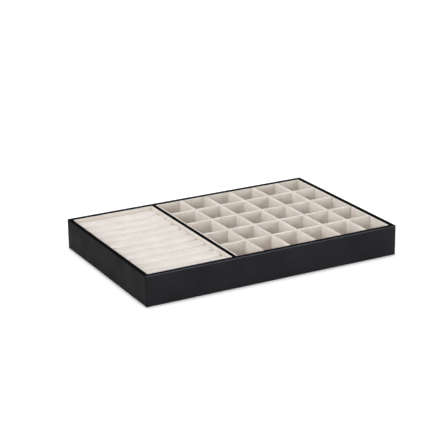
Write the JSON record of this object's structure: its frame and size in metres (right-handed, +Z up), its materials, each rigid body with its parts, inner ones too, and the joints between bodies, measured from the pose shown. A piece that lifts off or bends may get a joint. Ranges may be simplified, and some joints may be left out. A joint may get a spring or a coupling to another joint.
{
  "type": "jewelry tray",
  "caption": "Shallow rectangular jewelry tray in black leatherette, with padded velvet ring rolls beside a velvet-lined grid of small open compartments.",
  "frame": {"origin": "middle of the underside, on the surface that the tray stands on", "axes": "+X along the tray from the ring bed to the compartments, +Y from front to back, +Z up"},
  "size_m": [0.3, 0.2, 0.034],
  "materials": {
    "fibreboard": "matte",
    "leatherette": "satin",
    "felt": "matte",
    "liner_velvet": "matte",
    "roll_velvet": "matte",
    "foam": "matte"
  },
  "bodies": {
    "root": {"base_board": "fibreboard", "front_board": "fibreboard", "back_board": "fibreboard", "left_board": "fibreboard", "right_board": "fibreboard", "bay_divider_board": "fibreboard", "leatherette_wrap": "leatherette", "bay_divider_wrap": "leatherette", "base_felt": "felt", "ring_roll_cover_01": "roll_velvet", "ring_roll_cover_02": "roll_velvet", "ring_roll_cover_03": "roll_velvet", "ring_roll_cover_04": "roll_velvet", "ring_roll_cover_05": "roll_velvet", "ring_roll_cover_06": "roll_velvet", "ring_roll_cover_07": "roll_velvet", "ring_roll_cover_08": "roll_velvet", "ring_roll_cover_09": "roll_velvet", "ring_roll_cover_10": "roll_velvet", "ring_roll_foam_01": "foam", "ring_roll_foam_02": "foam", "ring_roll_foam_03": "foam", "ring_roll_foam_04": "foam", "ring_roll_foam_05": "foam", "ring_roll_foam_06": "foam", "ring_roll_foam_07": "foam", "ring_roll_foam_08": "foam", "ring_roll_foam_09": "foam", "ring_roll_foam_10": "foam", "ring_floor": "liner_velvet", "grid_floor": "liner_velvet", "ring_liner_front": "liner_velvet", "ring_liner_back": "liner_velvet", "ring_liner_left": "liner_velvet", "ring_liner_right": "liner_velvet", "grid_liner_front": "liner_velvet", "grid_liner_back": "liner_velvet", "grid_liner_left": "liner_velvet", "grid_liner_right": "liner_velvet", "cross_strip_1": "liner_velvet", "cross_strip_2": "liner_velvet", "cross_strip_3": "liner_velvet", "cross_strip_4": "liner_velvet", "cross_strip_5": "liner_velvet", "long_strip_1": "liner_velvet", "long_strip_2": "liner_velvet", "long_strip_3": "liner_velvet", "long_strip_4": "liner_velvet"}
  },
  "joints": []
}
